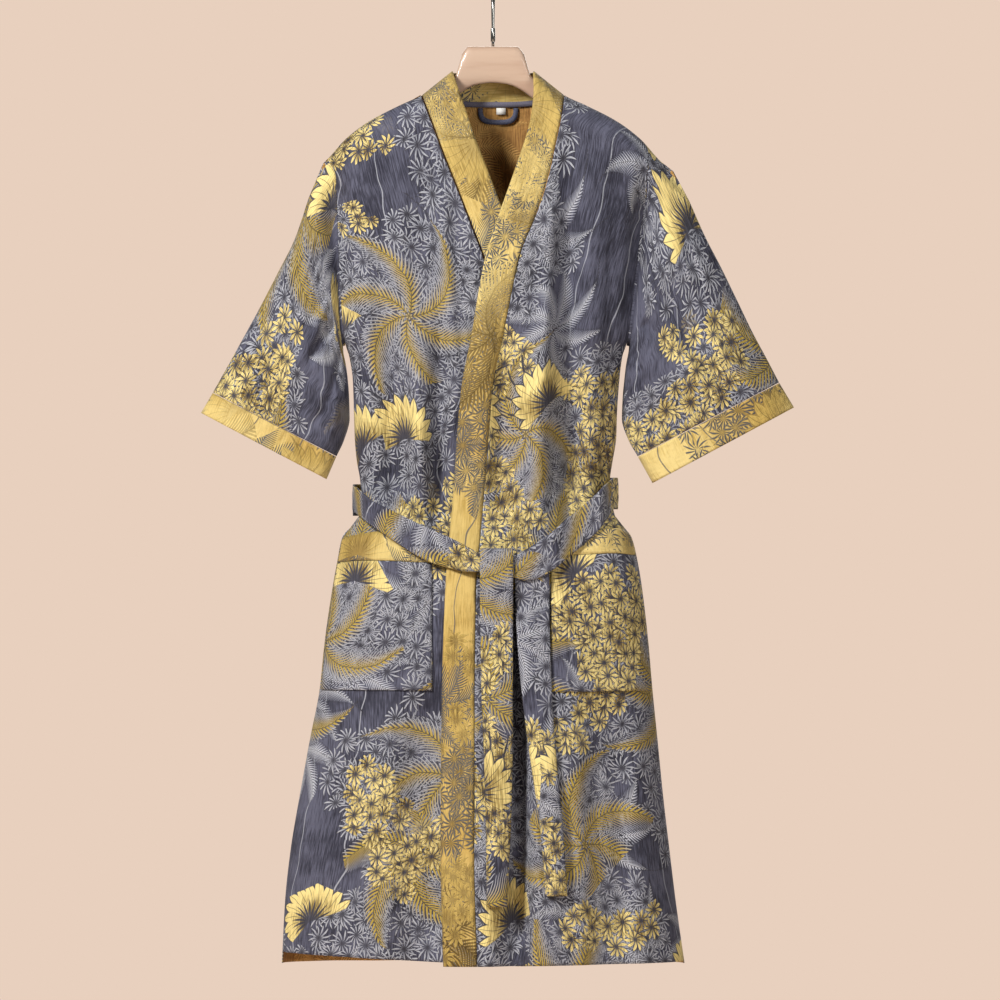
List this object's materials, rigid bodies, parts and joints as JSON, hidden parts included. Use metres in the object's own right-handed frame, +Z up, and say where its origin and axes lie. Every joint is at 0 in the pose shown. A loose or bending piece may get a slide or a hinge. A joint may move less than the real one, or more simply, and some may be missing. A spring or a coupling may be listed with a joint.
{
  "type": "kimono robe on a hanger",
  "caption": "Knee-length kimono robe with short wide sleeves, patch pockets and a tied belt, hung on a wooden hanger with a wire hook.",
  "frame": {"origin": "inside top of the hanger's hook, where the rail carries it", "axes": "+Z up, -Y out of the robe's front, +X to the right of someone looking at the front"},
  "size_m": [0.7676, 0.2229, 1.2974],
  "materials": {
    "slate_jacquard": "woven two-colour cotton with a leaf pattern, slate side out",
    "gold_jacquard": "the same cloth's gold side out",
    "tape": "plain cotton tape",
    "label": "blank woven label",
    "hanger_wood": "pale lacquered wood",
    "hook_steel": "bright nickel-plated steel"
  },
  "bodies": {
    "root": {"back": "slate_jacquard", "belt_end_back": "slate_jacquard", "belt_end_front": "slate_jacquard", "belt_loop_round_waist": "slate_jacquard", "cuff_left": "gold_jacquard", "cuff_right": "gold_jacquard", "front_lapping": "slate_jacquard", "front_under": "slate_jacquard", "hanger": "hanger_wood", "hanging_loop": "slate_jacquard", "hook": "hook_steel", "hook_ferrule": "hook_steel", "neck_tape": "tape", "neckband": "gold_jacquard", "pocket_band_left": "gold_jacquard", "pocket_band_right": "gold_jacquard", "pocket_left": "slate_jacquard", "pocket_right": "slate_jacquard", "size_label": "label", "sleeve_left": "slate_jacquard", "sleeve_right": "slate_jacquard"}
  },
  "joints": []
}
